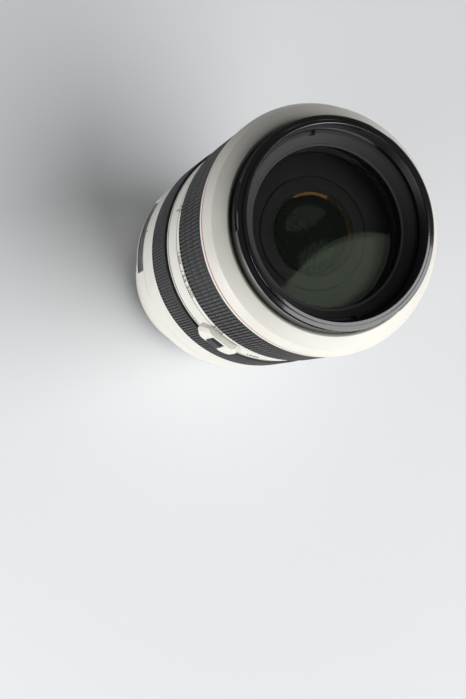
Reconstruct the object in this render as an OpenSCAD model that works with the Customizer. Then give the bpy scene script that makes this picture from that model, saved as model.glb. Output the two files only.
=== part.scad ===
// Telephoto zoom lens with an extending front barrel, a zoom ring, a focus ring with a distance
// window, a zoom lock, a switch panel, an eight-blade iris and a shifting stabiliser group.
// The optical axis is Z, the front faces up and the bayonet end stands on z = 0.
// Azimuths are counted from the top of the lens (-Y) towards +X.

/* [Outside] */
// Largest outside diameter, at the front ring
body_d = 89; // [88:0.5:94]
// How far the white shells lie under the largest radius
shell_inset = 1.0; // [0.8:0.1:1.4]
// Wall of the white shells
shell_wall = 1.6; // [1.2:0.1:1.8]
// Length of the rear barrel in front of the mount flange
rear_len = 48.4; // [46:0.2:54]
// Length of the middle barrel behind the focus ring
mid_len = 15.2; // [13:0.2:20]
// Length of the fixed band between the two rings
band_len = 12.1; // [11:0.1:16]
// Gap between neighbouring rings that turn or slide
seam = 0.3; // [0.2:0.05:0.4]

/* [Mount] */
// Depth of the bayonet behind the flange
bayonet_h = 5.6; // [5:0.1:7]
// Outside diameter of the bayonet cylinder
bayonet_d = 50.8; // [50:0.2:52]
// Wall of the bayonet cylinder
bayonet_wall = 2.2; // [1.8:0.1:2.6]
// Outside diameter over the three bayonet lugs
lug_d = 53.8; // [53:0.2:55]
// Thickness of a bayonet lug
lug_t = 1.5; // [1.2:0.1:1.8]
// Height of the lugs above the rear end
lug_z = 1.3; // [0.8:0.1:1.6]
// Angle that each lug covers
lug_angle = 58; // [40:1:70]
// Diameter of the flange
flange_d = 65; // [64:0.5:66]
// Thickness of the flange
flange_t = 2.0; // [1.8:0.1:2.6]
// Width of the rubber seal around the flange
gasket_w = 1.1; // [0.8:0.1:1.4]
// Circle on which the flange screws sit
screw_pcd = 58; // [57:0.5:60]
// Head diameter of a flange screw
screw_head_d = 3.2; // [2.6:0.1:3.6]
// Number of electrical contacts
contact_n = 9; // [7:1:10]

/* [Rear barrel] */
// Diameter of the neck next to the flange
neck_d = 68.4; // [68.4:0.2:70]
// Diameter of the seat for a tripod collar
seat_d = 72; // [71.6:0.2:74]
// Height of the seat's rear edge above the flange face
seat_z = 11.4; // [10:0.2:12]
// Length of the seat
seat_len = 14; // [12:0.5:15]
// Diameter of the shoulder in front of the seat
shoulder_d = 79; // [78:0.5:80]
// Length of the cone from the shoulder to the full diameter
cone_len = 12.5; // [11:0.5:13]

/* [Window and switches] */
// Length of the distance window along the axis
window_len = 8.6; // [7:0.2:9]
// Angle that the distance window covers
window_angle = 42; // [34:1:48]
// Thickness of the window pane
window_t = 0.8; // [0.6:0.1:0.9]
// Angle that the switch panel covers around the barrel
panel_angle = 38; // [34:1:42]
// Length of the switch panel along the axis
panel_len = 12.6; // [11.4:0.2:13.4]
// Angle between the switches
switch_pitch = 11.5; // [10.5:0.5:12]
// Travel of a switch
switch_travel = 3; // [2:0.5:3.5]

/* [Focus ring] */
// Length of the focus ring
focus_len = 18.1; // [16:0.1:24]
// Number of ribs on the focus rubber
focus_ribs = 240; // [180:1:260]
// Wall of the focus ring
focus_wall = 0.8; // [0.7:0.1:1.0]

/* [Zoom ring] */
// Length of the zoom ring
zoom_len = 29.9; // [28:0.1:36]
// Length of the scale strip behind the zoom rubber
scale_len = 5.6; // [5:0.1:7]
// Number of ribs on the zoom rubber
zoom_ribs = 200; // [150:1:220]
// Turn of the zoom ring from the shortest to the longest focal length
zoom_turn = 65; // [55:1:70]

/* [Grip rubber] */
// Thickness of the rubbers over their ribs
rubber_t = 1.3; // [1.2:0.1:1.5]
// Height of a rib
rib_h = 0.7; // [0.5:0.1:0.8]
// How far the ribs lie under the largest radius
grip_inset = 0.2; // [0.1:0.1:0.4]
// Width of the grooves that break the zoom ribs into rows
row_groove = 0.5; // [0.3:0.1:0.8]

/* [Front] */
// Length of the front ring up to its front edge
front_ring_len = 9.9; // [9.5:0.1:12]
// Height of the hood mount in front of the front ring
hood_len = 6.2; // [5.5:0.1:7.5]
// Diameter of the hood mount
hood_d = 73.8; // [73.4:0.2:74.2]
// Wall of the hood mount outside the filter thread
rim_wall = 3.4; // [3:0.1:4]
// Diameter of the filter thread, inside the hood mount
filter_d = hood_d - 2 * rim_wall; // [66.6:0.1:67.4]
// Depth of the filter thread
thread_depth = 5.8; // [5:0.1:6]
// Height of the red ring above the front ring's rear edge
red_z = 1.9; // [1.5:0.1:2.4]
// Width of the red ring
red_w = 0.8; // [0.6:0.1:1.0]
// Length of the cell that holds the front lenses
front_cell_len = 13.85; // [13.4:0.05:14.6]
// Depth of the front lens's edge under the largest radius
glass_inset = 14.5; // [14.3:0.1:15.5]
// Diameter of the front lens
front_glass_d = body_d - 2 * glass_inset; // [58:0.5:60.4]
// Radius of the front lens's outer surface
front_glass_r = 120; // [90:1:140]
// How far the retaining ring reaches over the front lens
clamp_lip = 1.8; // [1.6:0.1:2.4]
// Clear diameter of the retaining ring
front_clear_d = front_glass_d - 2 * clamp_lip; // [55:0.2:56.6]

/* [Tubes] */
// Wall of the bearing tube under the focus ring
bearing_wall = 1.0; // [0.8:0.1:1.2]
// Wall of the zoom sleeve
sleeve_wall = 1.0; // [0.8:0.1:1.2]
// Wall of the fixed outer tube
outer_wall = 1.3; // [1.1:0.1:1.4]
// Wall of the sliding front barrel
barrel_wall = 1.4; // [1.2:0.1:1.5]
// Depth of the guide tube's bore under the largest radius
core_inset = 14.5; // [14.3:0.1:15]
// Bore of the guide tube
core_d = body_d - 2 * core_inset; // [59.4:0.2:60.4]
// Wall of the guide tube and of the cam barrel
cam_wall = 1.2; // [1.0:0.1:1.4]
// Diameter of the rollers that carry the front barrel
roller_d = 4; // [3:0.2:4.4]
// Diameter of the pins that carry the second lens group
follower_d = 3; // [2.4:0.2:3.4]
// Travel of the second lens group
variator_travel = 8; // [5:0.5:9]

/* [Iris] */
// Depth of the open iris's edge under the bore of the guide tube
iris_inset = 14; // [13.5:0.5:15]
// Clear diameter of the open iris
iris_d = core_d - 2 * iris_inset; // [30:0.5:33]
// Thickness of a blade
blade_t = 0.2; // [0.15:0.01:0.22]
// Step from one blade to the next
blade_step = 0.32; // [0.3:0.01:0.4]
// Turn of a blade from open to closed
blade_turn = 24; // [18:1:25]
// Turn of the drive ring from open to closed
iris_turn = 30; // [26:1:32]

/* [Stabiliser and focus] */
// Travel of the stabiliser to each side
shift_travel = 1.0; // [0.6:0.1:1.2]
// Travel of the focus group
focus_travel = 10; // [6:0.5:12]

/* [Clearances] */
// Radial gap between pieces that turn or slide in each other
run_gap = 0.3; // [0.25:0.01:0.35]
// Gap between pieces that are fixed to each other
seat_gap = 0.05; // [0.02:0.01:0.08]
// Side clearance of rollers and pins in their slots
slot_gap = 0.15; // [0.1:0.01:0.2]

/* [Hidden] */
$fn = 96;
eps = 0.01;

// Heights of the outer pieces, from the rear end to the front rim
z_flange = bayonet_h;
z_rear0 = z_flange + flange_t;
z_mid0 = z_rear0 + rear_len;
z_mid1 = z_mid0 + mid_len;
z_focus0 = z_mid1 + seam;
z_focus1 = z_focus0 + focus_len;
z_band0 = z_focus1 + seam;
z_band1 = z_band0 + band_len;
z_zoom0 = z_band1 + seam;
z_zoom1 = z_zoom0 + zoom_len;
z_ring0 = z_zoom1 + seam;
z_ring1 = z_ring0 + front_ring_len;
z_rim = z_ring1 + hood_len;

// Radii from the outside in
r_body = body_d / 2;
r_shell = r_body - shell_inset;
r_shell_in = r_shell - shell_wall;
r_grip = r_body - grip_inset;
r_rubber_in = r_grip - rubber_t;
r_ring_seat = r_rubber_in - seat_gap;
r_focus_in = r_ring_seat - focus_wall;
r_bearing = r_focus_in - run_gap;
r_bearing_in = r_bearing - bearing_wall;
r_sleeve = r_bearing_in - run_gap;
r_sleeve_in = r_sleeve - sleeve_wall;
r_outer = r_sleeve_in - run_gap;
r_outer_in = r_outer - outer_wall;
r_barrel = r_outer_in - run_gap;
r_barrel_in = r_barrel - barrel_wall;

// Radii from the bore out
r_core = core_d / 2;
r_guide = r_core + cam_wall;
r_cam_in = r_guide + run_gap;
r_cam = r_cam_in + cam_wall;
r_slide = r_core - run_gap;
r_fixed = r_core - seat_gap;

// Front of the barrel: a spigot in the front barrel and the front ring, and the hood mount on it
r_hood = hood_d / 2;
r_thread = filter_d / 2;
spigot_wall = 3.15;
r_low = r_barrel_in - seat_gap;
r_bore = r_low - spigot_wall;
r_cell = r_bore - seat_gap;
r_mount = r_low + seat_gap;
hood_under = 0.2;
hood_land = 1.4;

// Front lenses in their cell: the pair behind sits one step further in
shelf_h = 6.4;
pair_step = 1;
pair_floor = 1.2;
pair_lip = 1.5;
pair_r = 180;
pair_t = 4.6;
clamp_room = 3.9;
clamp_t = 0.4;

// Edges and small walls
edge = 0.4;
lip_w = 0.4;
groove_d = 0.4;

// Outline of the rear barrel along the axis
shoulder_h = 2;
shoulder_round = 0.6;
z_seat0 = z_flange + seat_z;
z_seat1 = z_seat0 + seat_len;
z_cone0 = z_seat1 + shoulder_h;
z_cone1 = z_cone0 + cone_len;

// Chassis behind the tubes, with the focus motor around its front end
plate_t = 2.6;
z_plate1 = z_rear0 + plate_t;
stator_h = 2.8;
rotor_h = 3.4;
motor_w = 2.8;
motor_gap = 0.9;
motor_room = 7;
top_t = 2.5;
z_motor = z_seat1 + shell_wall + motor_gap;
z_top0 = z_motor + motor_room;
z_top1 = z_top0 + top_t;
motor_side = 2.8;
chassis_wall = 1.3;
chassis_r = neck_d / 2 - shell_wall - run_gap;
tube_in = chassis_r - chassis_wall;
motor_seat_r = shoulder_d / 2 - shell_wall - motor_side - motor_w;
motor_seat_in = motor_seat_r - chassis_wall;
turn_t = 0.3;
z_turn = z_motor - turn_t;

// Zoom drive: one key behind the front barrel, three rollers and their slots
key_h = 3.5;
key_angle = 12;
key_az = 180;
z_key0 = z_focus0 + 0.5;
z_barrel0 = z_key0 + key_h + 1.5;
barrel_foot = roller_d / 2 + 1;
z_roller = z_barrel0 + barrel_foot;
end_wall = 2.4;
front_gap = 2.4;
z_cell0 = z_rim - thread_depth - front_cell_len;
z_tube1 = z_cell0 - front_gap;
roller_slot = roller_d / 2 + slot_gap;
zoom_travel = z_tube1 - end_wall - roller_slot - z_roller;
roller_az = [0, 120, 240];
collar_h = 2;
z_cam0 = z_key0 - 1.5;
cam_steps = 10;
boss_d = roller_d + 2;

// Second lens group, between the iris and the front lenses
variator_len = 13.5;
variator_lip = 1.6;
variator_r = 45;
variator_t = 6;
variator_dip = 1.2;
z_var0 = z_tube1 - variator_len - 1;
z_follower = z_var0 + 4;
follower_slot = follower_d / 2 + slot_gap;
follower_shift = 77;
follower_az = [for (a = roller_az) a + follower_shift];
variator_inset = 14;
variator_glass_d = core_d - 2 * variator_inset;
variator_clear_r = variator_glass_d / 2 - 1.2;

// Iris under the second lens group at its rearmost place
blade_n = 8;
iris_base_t = 2;
z_iris = z_var0 - variator_travel - 15;
z_blade = z_iris + iris_base_t + seam;
z_iris_ring = z_blade + blade_n * blade_step + seam;
iris_ring_t = 1.2;
z_iris_wall = z_iris_ring + iris_ring_t + seam;
iris_cover_t = 1.2;
iris_wall = 1.55;
r_iris_wall = r_fixed - iris_wall;
r_pivot = r_iris_wall - 2.9;
pivot_d = 1.4;
blade_in = iris_d / 2 + 0.4;
blade_out = r_pivot - pivot_d / 2 - 2.5;
blade_span = 97;
drive_pin_d = 1.2;
drive_az = 10;
slot_steps = 8;

// Stabiliser under the iris, and the focus group under that
stab_len = 11.5;
z_stab = z_iris - stab_len - 0.5;
stab_floor = 1.2;
frame_t = 1.8;
stab_inset = 15;
stab_glass_d = core_d - 2 * stab_inset;
stab_clear_r = stab_glass_d / 2 - 1.5;
stab_cell_h = 6;
stab_lip = 1;
stab_r = 60;
stab_t = 4.5;
carriage_len = 10;
carriage_room = 5.05;
z_carriage = z_stab - carriage_room - focus_travel - carriage_len;
focus_inset = 13;
focus_glass_d = core_d - 2 * focus_inset;
focus_lip = 1.8;
focus_r = 70;
focus_t = 4.8;

// Rear group and contacts
rear_cell_r = 22;
rear_cell_len = 14;
rear_glass_d = 37;
rear_front_r = 60;
rear_back_r = 80;
rear_glass_t = 6.5;
rear_dip = 2;
rear_shelf = 1.6;
board_foot = 1.5;
board_t = 1.2;
chip_h = 1.1;
r_bay_in = bayonet_d / 2 - bayonet_wall;
contact_r = r_bay_in - 1.9;
contact_half = 36;
contact_z = 0.3;

// Window, panel and lock
z_window = z_mid0 - 0.9 - window_len;
pane_gap = 0.1;
ledge = 0.8;
panel_top = r_body - 0.4;
panel_floor = r_shell - 0.8;
panel_az = -90;
z_panel = z_mid0 - 1.2 - panel_len;
slot_w = 3.4;
knob_l = 3.6;
knob_gap = 0.25;
slot_deep = 0.8;
lock_az = 69;
lock_w = 17;
lock_top = r_body + 1.3;
lock_travel = 3;
lock_knob = 5;

// Colours
white_paint = "#e6e3da";
black_plastic = "#1b1b1c";
black_rubber = "#232324";
bright_metal = "#b9bbbd";
dark_metal = "#3a3b3d";
clear_glass = "#9fb4ad";
red_paint = "#b3262a";
gold_plate = "#c9a24a";
board_green = "#2e5a3c";

// Turns the local +X axis outwards at an azimuth from the top of the lens
module at(az) {
    rotate([0, 0, az - 90]) children();
}

module ring(r_out, r_in, z0, z1) {
    translate([0, 0, z0])
        difference() {
            cylinder(r = r_out, h = z1 - z0);
            translate([0, 0, -eps]) cylinder(r = r_in, h = z1 - z0 + 2 * eps);
        }
}

// Part of a ring between two azimuths
module sector(r_out, r_in, z0, z1, az0, az1) {
    at(az0)
        rotate_extrude(angle = az1 - az0)
            translate([r_in, z0]) square([r_out - r_in, z1 - z0]);
}

module lathe(points) {
    rotate_extrude() polygon(points);
}

// Pin along the local +X axis
module radial_pin(d, r0, r1, z) {
    translate([r0, 0, z]) rotate([0, 90, 0]) cylinder(d = d, h = r1 - r0);
}

function polar(r, a) = [r * cos(a), r * sin(a)];

// Slot that winds around the axis, cut in short straight steps, with round ends
module cam_slot(r_in, r_out, az, z, turn, rise, half) {
    arc = (r_in + r_out) / 2 * turn * PI / 180;
    step = norm([arc, rise]) / cam_steps;
    lap = 0.1;
    for (k = [0:cam_steps - 1])
        let (share = (k + 0.5) / cam_steps)
        at(az + turn * share)
            translate([r_in, 0, z + rise * share])
                rotate([atan2(rise, arc), 0, 0])
                    translate([0, -step / 2 - lap, -half]) cube([r_out - r_in, step + 2 * lap, 2 * half]);
    at(az) radial_pin(2 * half + 0.04, r_in, r_out, z);
    at(az + turn) radial_pin(2 * half + 0.04, r_in, r_out, z + rise);
}

// Straight slot along the axis, with round ends
module straight_slot(r_in, r_out, az, z0, z1, half) {
    at(az) {
        translate([r_in, -half, z0]) cube([r_out - r_in, 2 * half, z1 - z0]);
        radial_pin(2 * half, r_in, r_out, z0);
        radial_pin(2 * half, r_in, r_out, z1);
    }
}

// Rubber sleeve with straight ribs all round
module ribbed_sleeve(n, z0, z1) {
    pitch = 360 / n;
    root = r_grip - rib_h;
    outline = [
        for (i = [0:n - 1])
            each [
                polar(root, i * pitch),
                polar(r_grip, (i + 0.14) * pitch),
                polar(r_grip, (i + 0.56) * pitch),
                polar(root, (i + 0.7) * pitch)
            ]
    ];
    translate([0, 0, z0])
        difference() {
            linear_extrude(z1 - z0) polygon(outline);
            translate([0, 0, -eps]) cylinder(r = r_rubber_in, h = z1 - z0 + 2 * eps, $fn = 360);
        }
}

// Round lens with a convex front, cut flat behind
module convex_lens(d, radius, z_back, z_vertex) {
    $fn = 240;
    intersection() {
        translate([0, 0, z_back]) cylinder(d = d, h = z_vertex - z_back);
        translate([0, 0, z_vertex - radius]) sphere(r = radius);
    }
}

// Bayonet and flange in one turned piece, with counterbored screw holes
module mount_ring() {
    third = 120;
    color(bright_metal)
        difference() {
            union() {
                ring(flange_d / 2, r_bay_in, z_flange, z_rear0);
                ring(bayonet_d / 2, r_bay_in, 0, z_flange + eps);
                for (k = [0:2])
                    sector(lug_d / 2, bayonet_d / 2 - eps, lug_z, lug_z + lug_t,
                        k * third, k * third + lug_angle);
            }
            for (k = [0:3])
                at(45 + 90 * k)
                    translate([screw_pcd / 2, 0, 0]) {
                        translate([0, 0, z_flange - eps]) cylinder(d = screw_head_d + 0.2, h = 1.3);
                        translate([0, 0, z_flange]) cylinder(d = 2.1, h = flange_t + eps);
                    }
        }
}

module mount_screws() {
    color(bright_metal)
        for (k = [0:3])
            at(45 + 90 * k)
                translate([screw_pcd / 2, 0, z_flange + 0.15])
                    difference() {
                        union() {
                            cylinder(d = screw_head_d, h = 1.1);
                            cylinder(d = 1.8, h = flange_t + plate_t - 0.5);
                        }
                        for (a = [0, 90])
                            rotate([0, 0, a]) translate([-0.8, -0.2, -eps]) cube([1.6, 0.4, 0.6]);
                    }
}

// Thin rubber skirt that seals against the camera
module mount_gasket() {
    r0 = flange_d / 2 + seat_gap;
    color(black_rubber)
        lathe([
            [r0, z_flange + 0.3], [r0 + 0.45 * gasket_w, z_flange - 0.4],
            [r0 + 0.7 * gasket_w, z_flange - 0.4], [r0 + gasket_w, z_flange + 0.8],
            [r0 + gasket_w, z_rear0], [r0, z_rear0]
        ]);
}

module contact_block() {
    r_out = r_bay_in - seat_gap;
    color(black_plastic)
        difference() {
            sector(r_out, contact_r - 1.7, contact_z, z_rear0 - 0.2, 180 - contact_half, 180 + contact_half);
            for (k = [0:contact_n - 1])
                at(contact_az(k))
                    translate([contact_r, 0, contact_z - eps]) cylinder(d = 1.9, h = 1.4);
        }
}

function contact_az(k) = 180 + (k - (contact_n - 1) / 2) * 6.6;

module contact_pins() {
    color(gold_plate)
        for (k = [0:contact_n - 1])
            at(contact_az(k))
                translate([contact_r, 0, contact_z - 0.15]) cylinder(d = 1.9 - 2 * seat_gap, h = 1.4);
}

// Black cover around the rear lens, open where the contacts sit
module rear_baffle() {
    r_out = r_bay_in - seat_gap;
    gap_az = contact_half + 2;
    color(black_plastic)
        intersection() {
            sector(r_out, rear_glass_d / 2 - 1.5, 0, z_rear0, 180 + gap_az, 540 - gap_az);
            lathe([
                [r_out, z_rear0 - 0.2], [rear_glass_d / 2 - 1, z_rear0 - 0.2],
                [rear_glass_d / 2 - 1, z_rear0 - 1.2], [r_out - 1.6, z_flange - 1.6], [r_out, z_flange - 1.6]
            ]);
        }
}

// Tube that carries the rear lens, held by a flange on the chassis plate
module rear_cell() {
    r_hole = rear_glass_d / 2 + seat_gap;
    color(dark_metal)
        difference() {
            union() {
                ring(rear_cell_r, r_hole, z_rear0 + 0.6, z_plate1 + rear_cell_len);
                ring(rear_cell_r + 2, rear_cell_r - eps, z_plate1, z_plate1 + 1.2);
                ring(r_hole + eps, r_hole - 1.4, z_rear0 + 0.6, z_rear0 + rear_shelf);
            }
            ring(r_hole + 0.6, r_hole - eps, z_plate1 + 9, z_plate1 + 9.6);
        }
}

module rear_element() {
    z0 = z_rear0 + rear_shelf + seat_gap;
    color(clear_glass, 0.5)
        difference() {
            convex_lens(rear_glass_d, rear_front_r, z0, z0 + rear_glass_t);
            translate([0, 0, z0 + rear_dip - rear_back_r]) sphere(r = rear_back_r);
        }
}

// Metal core of the rear body: plate for the mount, tube and top plate for the inner tubes
module chassis() {
    r_plate = neck_d / 2 - shell_wall - seat_gap;
    color(bright_metal)
        difference() {
            union() {
                ring(r_plate, rear_cell_r + seat_gap, z_rear0, z_plate1);
                ring(chassis_r, tube_in, z_plate1 - eps, z_turn);
                ring(
                    max(chassis_r, motor_seat_r), min(tube_in, motor_seat_in),
                    z_turn - eps, z_motor
                );
                ring(motor_seat_r, motor_seat_in, z_turn, z_top0 + eps);
                ring(max(r_outer, motor_seat_r), min(r_core, motor_seat_in), z_top0, z_top1);
                for (k = [0:2])
                    at(30 + 120 * k)
                        translate([rear_cell_r + 5.2, 0, z_plate1 - eps])
                            cylinder(d = 3, h = board_foot + eps);
            }
            for (k = [0:3])
                at(45 + 90 * k)
                    translate([screw_pcd / 2, 0, z_rear0 - eps]) cylinder(d = 1.9, h = plate_t + 2 * eps);
        }
}

// Ring-shaped board on the chassis bosses, with its larger chips
module circuit_board() {
    z0 = z_plate1 + board_foot;
    r0 = rear_cell_r + 2.4;
    r1 = tube_in - 0.2;
    color(board_green) {
        ring(r1, r0, z0, z0 + board_t);
        for (k = [0:4])
            at(72 * k)
                translate([r0 + 0.8, -2.5, z0 + board_t - eps]) cube([r1 - r0 - 1.6, 5, chip_h]);
    }
}

// Toothed ring of the focus motor
module motor_stator() {
    r0 = motor_seat_r + seat_gap;
    teeth = 60;
    tooth_gap = 0.5;
    color(bright_metal)
        difference() {
            ring(r0 + motor_w, r0, z_motor, z_motor + stator_h);
            for (k = [0:teeth - 1])
                at(k * 360 / teeth)
                    translate([r0 - eps, -tooth_gap / 2, z_motor + stator_h / 2])
                        cube([motor_w + 2 * eps, tooth_gap, stator_h / 2 + eps]);
        }
}

module motor_rotor() {
    r0 = motor_seat_r + run_gap;
    r1 = r0 + motor_w - run_gap;
    z0 = z_motor + stator_h + seam;
    z1 = z0 + rotor_h;
    color(dark_metal)
        lathe([
            [r0, z0 + 0.6], [r0 + 0.8, z0], [r1, z0], [r1, z1 - 1], [r1 - 1.1, z1], [r0, z1]
        ]);
}

// Outside of the rear barrel: neck, collar seat, shoulder, cone and full diameter
rear_outline = [
    [neck_d / 2 - edge, z_rear0], [neck_d / 2, z_rear0 + edge], [neck_d / 2, z_rear0 + 3],
    [seat_d / 2, z_seat0], [seat_d / 2, z_seat1],
    [shoulder_d / 2 - shoulder_round, z_seat1 + 0.5],
    [shoulder_d / 2, z_seat1 + 0.5 + shoulder_round], [shoulder_d / 2, z_cone0],
    [r_shell, z_cone1], [r_shell, z_mid0 - edge], [r_shell - edge, z_mid0]
];

module rear_barrel() {
    neck_in = neck_d / 2 - shell_wall;
    seat_in = seat_d / 2 - shell_wall;
    cone_in = shoulder_d / 2 - shell_wall;
    spigot = (shell_wall - 2 * seat_gap) / 2;
    pane_r = r_shell - 0.3 - window_t - pane_gap;
    color(white_paint)
        difference() {
            lathe(concat(rear_outline, [
                [r_shell_in + spigot, z_mid0], [r_shell_in + spigot, z_mid0 + 2], [r_shell_in, z_mid0 + 2],
                [r_shell_in, z_cone1 + 0.4], [cone_in, z_cone0 + 0.4], [cone_in, z_seat1 + shell_wall + 0.6],
                [seat_in, z_seat1 + shell_wall + 0.2], [seat_in, z_seat0 + 0.3], [neck_in, z_rear0 + 3.2],
                [neck_in, z_rear0]
            ]));
            sector(r_shell + 1, pane_r, z_window - pane_gap, z_window + window_len + pane_gap,
                -window_angle / 2 - 0.2, window_angle / 2 + 0.2);
            sector(r_shell, r_shell_in - 1, z_window + ledge, z_window + window_len - ledge,
                -window_angle / 2 + 1, window_angle / 2 - 1);
            panel_pocket(seat_gap);
        }
}

// Seat for the switch panel on the left side of the barrel
module panel_pocket(gap) {
    turn = gap / r_shell * 180 / PI;
    sector(r_body + 1, panel_floor, z_panel - gap, z_panel + panel_len + gap,
        panel_az - panel_angle / 2 - turn, panel_az + panel_angle / 2 + turn);
}

module distance_window() {
    r1 = r_shell - 0.3;
    color(clear_glass, 0.5)
        sector(r1, r1 - window_t, z_window, z_window + window_len, -window_angle / 2, window_angle / 2);
}

// Drum with the distance scale, which turns behind the window
module distance_scale() {
    z0 = z_window - 0.8;
    r0 = r_outer + run_gap;
    r1 = r_shell_in - 0.5;
    color(black_plastic)
        difference() {
            ring(r1, r0, z0, z_mid0 - seam);
            ring(r1 - 1.0, r0 - eps, z_mid0 - seam - 3, z_mid0 - seam + eps);
        }
}

// Curved plate with a slot for each switch, filled down to the cone behind the full diameter
module switch_panel() {
    az0 = panel_az - panel_angle / 2;
    az1 = panel_az + panel_angle / 2;
    r_in = panel_floor + seat_gap;
    wedge = 2;
    color(white_paint)
        difference() {
            union() {
                at(az0)
                    rotate_extrude(angle = panel_angle)
                        polygon([
                            [r_in, z_panel], [panel_top - edge, z_panel], [panel_top, z_panel + edge],
                            [panel_top, z_panel + panel_len - edge], [panel_top - edge, z_panel + panel_len],
                            [r_in, z_panel + panel_len]
                        ]);
                difference() {
                    sector(r_in + eps, r_in - wedge, z_panel, z_panel + panel_len, az0, az1);
                    lathe(concat([for (p = rear_outline) p + [seat_gap, 0]], [[0, z_mid0], [0, z_rear0]]));
                }
            }
            for (k = [0:2])
                at(switch_az(k))
                    translate([panel_top - slot_deep, -slot_w / 2, slot_z])
                        cube([slot_w, slot_w, slot_l]);
        }
}

slot_l = knob_l + switch_travel + 2 * knob_gap;
slot_z = z_panel + (panel_len - slot_l) / 2;
function switch_az(k) = panel_az + (k - 1) * switch_pitch;

// Ridged slider at the rear end of its slot
module switch_knob(k) {
    h = slot_deep - knob_gap + 0.4;
    w = slot_w - 2 * knob_gap;
    color(dark_metal)
        at(switch_az(k))
            translate([panel_top - slot_deep + knob_gap, -w / 2, slot_z + knob_gap])
                difference() {
                    cube([h, w, knob_l]);
                    for (j = [1:3])
                        translate([h - 0.3, -eps, j * knob_l / 4 - 0.25]) cube([1, w + 2 * eps, 0.5]);
                }
}

module af_switch() {
    switch_knob(0);
}

module stabiliser_switch() {
    switch_knob(1);
}

module mode_switch() {
    switch_knob(2);
}

// White barrel between the rear barrel and the focus ring, screwed to the outer tube
module mid_barrel() {
    web0 = z_mid0 + 2.3;
    web1 = web0 + 2.5;
    bore = r_shell_in + shell_wall / 2;
    color(white_paint)
        lathe([
            [r_shell - edge, z_mid0], [r_shell, z_mid0 + edge], [r_shell, z_mid1 - edge],
            [r_shell - edge, z_mid1], [r_bearing + seat_gap, z_mid1], [r_bearing + seat_gap, web1],
            [r_outer + seat_gap, web1], [r_outer + seat_gap, web0], [bore, web0], [bore, z_mid0]
        ]);
}

// Bearing tube of the focus ring with the fixed white band and the housing of the zoom lock
module band_barrel() {
    z0 = z_mid0 + 4.8 + seat_gap;
    color(white_paint)
        difference() {
            union() {
                lathe([
                    [r_bearing_in, z0], [r_bearing, z0], [r_bearing, z_band0], [r_shell - edge, z_band0],
                    [r_shell, z_band0 + edge], [r_shell, z_band0 + 1.2], [r_shell - groove_d, z_band0 + 1.3],
                    [r_shell - groove_d, z_band0 + 1.6], [r_shell, z_band0 + 1.7], [r_shell, z_band1 - edge],
                    [r_shell - edge, z_band1], [r_bearing_in, z_band1]
                ]);
                lock_housing();
            }
            at(lock_az)
                translate([lock_floor, -lock_knob / 2 - knob_gap, lock_z - knob_gap])
                    cube([lock_w, lock_knob + 2 * knob_gap, lock_knob + lock_travel + 2 * knob_gap]);
        }
}

lock_floor = r_shell - 0.4;
lock_z = z_band0 + (band_len - lock_knob - lock_travel) / 2;

// Rounded hump over the band: a disc-shaped block whose sides fall to the band
module lock_housing() {
    hump_r = lock_w / 2;
    intersection() {
        at(lock_az)
            translate([r_shell - 2, 0, (z_band0 + z_band1) / 2])
                rotate([0, 90, 0])
                    difference() {
                        cylinder(r = hump_r, h = lock_top - r_shell + 2);
                        translate([0, 0, lock_top - r_shell + 2 - 1.2])
                            rotate_extrude()
                                polygon([[hump_r - 1.2, 1.21], [hump_r + 1, -1], [hump_r + 1, 1.21]]);
                    }
        ring(lock_top + 1, r_shell - 1, z_band0 + 0.2, z_band1 - 0.2);
    }
}

module zoom_lock() {
    h = lock_top - lock_floor - knob_gap + 0.5;
    color(dark_metal)
        at(lock_az)
            translate([lock_floor + knob_gap, -lock_knob / 2, lock_z])
                difference() {
                    cube([h, lock_knob, lock_knob]);
                    for (j = [1:3])
                        translate([h - 0.35, -eps, j * lock_knob / 4 - 0.3])
                            cube([1, lock_knob + 2 * eps, 0.6]);
                }
}

module focus_ring() {
    lip_r = r_grip - rib_h;
    color(dark_metal)
        lathe([
            [r_focus_in, z_focus0], [lip_r, z_focus0], [lip_r, z_focus0 + lip_w],
            [r_ring_seat, z_focus0 + lip_w], [r_ring_seat, z_focus1 - lip_w],
            [lip_r, z_focus1 - lip_w], [lip_r, z_focus1], [r_focus_in, z_focus1]
        ]);
}

module focus_rubber() {
    color(black_rubber)
        ribbed_sleeve(focus_ribs, z_focus0 + lip_w + seat_gap, z_focus1 - lip_w - seat_gap);
}

// Fixed tube that guides the front barrel, with the arc slot for the zoom key
module outer_tube() {
    slack = 2;
    color(dark_metal)
        difference() {
            ring(r_outer, r_outer_in, z_top1, z_zoom1 - edge);
            sector(r_outer + 1, r_outer_in - 1, z_key0 - seam, z_key0 + key_h + seam,
                key_az - zoom_turn - slack, key_az + key_angle + slack);
        }
}

// Fixed inner tube with straight slots for the rollers and the followers
module guide_tube() {
    color(dark_metal)
        difference() {
            union() {
                ring(r_guide, r_core, z_top1, z_tube1);
                ring(r_outer_in - seat_gap, r_core, z_top1, z_top1 + 2);
                ring(r_cam, r_guide - eps, z_cam0 - seam - collar_h, z_cam0 - seam);
            }
            for (a = roller_az)
                straight_slot(r_core - 1, r_guide + 1, a, z_roller, z_roller + zoom_travel, roller_slot);
            for (a = follower_az)
                straight_slot(r_core - 1, r_guide + 1, a, z_follower - variator_travel, z_follower,
                    follower_slot);
        }
}

module zoom_ring() {
    lip_r = r_grip - rib_h;
    z_rub0 = z_zoom0 + scale_len;
    r_in = r_sleeve + seat_gap;
    color(white_paint)
        lathe([
            [r_in, z_zoom0], [r_shell - edge, z_zoom0], [r_shell, z_zoom0 + edge], [r_shell, z_rub0],
            [r_ring_seat, z_rub0], [r_ring_seat, z_zoom1 - 2 * lip_w], [lip_r, z_zoom1 - 2 * lip_w],
            [lip_r, z_zoom1], [r_in, z_zoom1]
        ]);
}

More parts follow.
